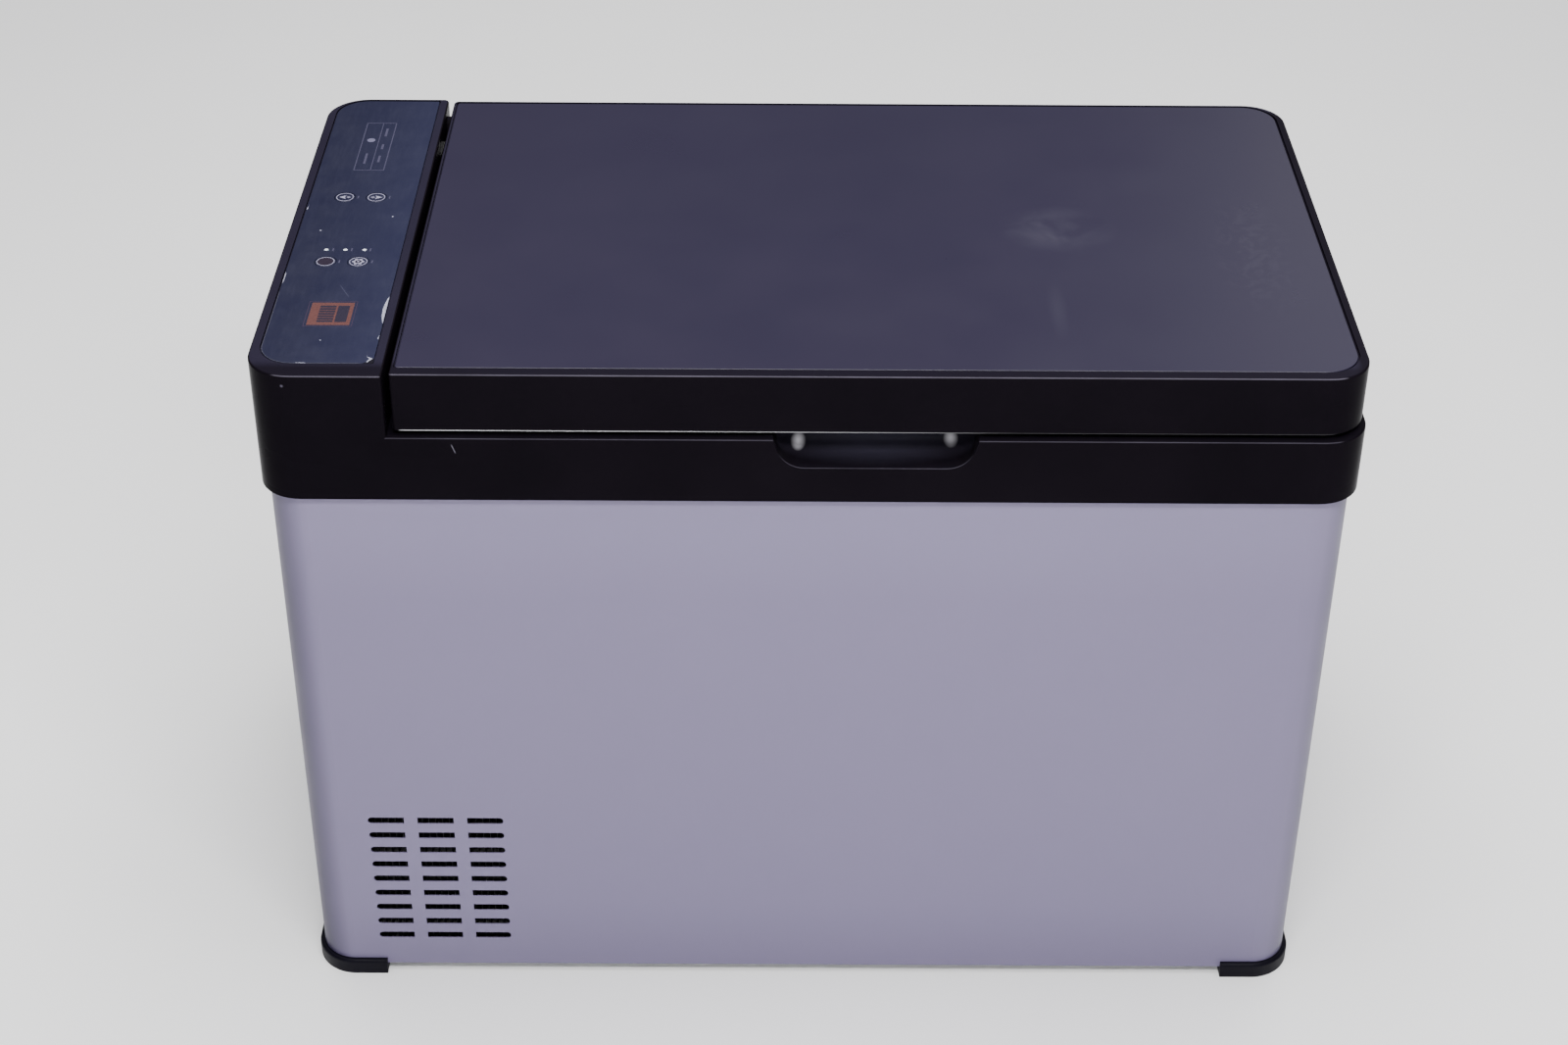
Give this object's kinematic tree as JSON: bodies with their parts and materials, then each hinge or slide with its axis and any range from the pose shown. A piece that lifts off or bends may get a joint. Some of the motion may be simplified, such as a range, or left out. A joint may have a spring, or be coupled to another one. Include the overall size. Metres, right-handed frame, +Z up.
{
  "type": "compressor cooler fridge",
  "caption": "Chest cooler fridge: steel body with low vents, moulded top frame with a control block and finger recess, rear hinged lid, compressor, fan and condenser at one end.",
  "frame": {"origin": "on the floor at the middle of the plan, under the feet", "axes": "+X along the width with the control block at -X, +Y to the rear where the lid hinges, +Z up"},
  "size_m": [0.6, 0.344, 0.425],
  "materials": {
    "body_paint": "satin light grey baked enamel",
    "black_moulding": "fine satin black moulding",
    "lid_sheet": "dark satin sheet",
    "panel_film": "dark blue grey printed film",
    "window_tint": "dark tinted window",
    "key_film": "printed key top",
    "light_pipe": "milky light pipe",
    "liner_plastic": "off white liner",
    "foam": "cut polyurethane foam",
    "seal_rubber": "soft black rubber",
    "foot_moulding": "black moulding, slightly rough",
    "zinc_steel": "zinc plated steel",
    "compressor_paint": "black enamel",
    "copper": "drawn copper tube",
    "fin_aluminium": "mill finish sheet",
    "board": "green circuit board",
    "basket_coat": "white epoxy coated wire",
    "cable_sleeve": "black cable sleeve",
    "coil_paint": "black coated coil",
    "bush_plastic": "black acetal",
    "lens_clear": "frosted lamp lens"
  },
  "bodies": {
    "cabinet": {"outer_shell": "body_paint", "base_plate": "zinc_steel", "cabinet_screws": "zinc_steel", "top_frame": "black_moulding", "inner_liner": "liner_plastic", "partition_panel": "zinc_steel", "foam_insulation": "foam", "control_overlay": "panel_film", "display_window": "window_tint", "indicator_leds": "light_pipe", "keypad_frame": "black_moulding", "control_board": "board", "hinge_pin_left": "compressor_paint", "hinge_bracket": "zinc_steel", "bracket_bush": "bush_plastic", "condenser_tube": "coil_paint", "condenser_fins": "coil_paint", "condenser_end_plates": "coil_paint", "fan_frame": "black_moulding", "fan_screws": "zinc_steel", "compressor_lower_shell": "compressor_paint", "compressor_upper_shell": "compressor_paint", "compressor_pump": "compressor_paint", "compressor_base": "compressor_paint", "compressor_grommets": "seal_rubber", "compressor_bolts": "zinc_steel", "compressor_driver": "black_moulding", "discharge_tube": "copper", "filter_drier": "copper", "capillary_tube": "copper", "evaporator_tube": "fin_aluminium", "suction_tube": "copper", "temperature_sensor": "zinc_steel", "wiring_harness": "cable_sleeve", "power_lead": "cable_sleeve", "compartment_lamp": "liner_plastic", "lamp_lens": "lens_clear", "inlet_plate": "black_moulding", "dc_inlet": "black_moulding", "ac_inlet": "black_moulding", "fuse_holder": "black_moulding", "rear_grille": "black_moulding", "wire_basket": "basket_coat", "foot_front_left": "foot_moulding", "foot_front_right": "foot_moulding", "foot_rear_left": "foot_moulding", "foot_rear_right": "foot_moulding"},
    "lid": {"lid_shell": "black_moulding", "lid_inlay": "lid_sheet", "lid_liner": "liner_plastic", "lid_foam": "foam", "lid_gasket": "seal_rubber", "lid_screws": "zinc_steel", "lid_bush": "bush_plastic", "hinge_pin_right": "zinc_steel"},
    "fan": {"fan_rotor": "black_moulding"},
    "key_up_body": {"key_up": "key_film"},
    "key_down_body": {"key_down": "key_film"},
    "key_set_body": {"key_set": "key_film"},
    "key_power_body": {"key_power": "key_film"}
  },
  "joints": [
    {"name": "lid_hinge", "type": "hinge", "parent": "cabinet", "child": "lid", "pos_m": [0.0375, 0.158, 0.411], "axis": [-1, 0, 0], "range_deg": [0, 95]},
    {"name": "fan_spin", "type": "hinge", "parent": "cabinet", "child": "fan", "pos_m": [-0.2, -0.1195, 0.068], "axis": [0, 1, 0], "continuous": true},
    {"name": "key_up_press", "type": "slide", "parent": "cabinet", "child": "key_up_body", "axis": [0, 0, -1], "range_m": [0, 0.0005], "stiffness_N_per_m": 200, "springref_m": -0.0005},
    {"name": "key_down_press", "type": "slide", "parent": "cabinet", "child": "key_down_body", "axis": [0, 0, -1], "range_m": [0, 0.0005], "stiffness_N_per_m": 200, "springref_m": -0.0005},
    {"name": "key_set_press", "type": "slide", "parent": "cabinet", "child": "key_set_body", "axis": [0, 0, -1], "range_m": [0, 0.0005], "stiffness_N_per_m": 200, "springref_m": -0.0005},
    {"name": "key_power_press", "type": "slide", "parent": "cabinet", "child": "key_power_body", "axis": [0, 0, -1], "range_m": [0, 0.0005], "stiffness_N_per_m": 200, "springref_m": -0.0005}
  ]
}
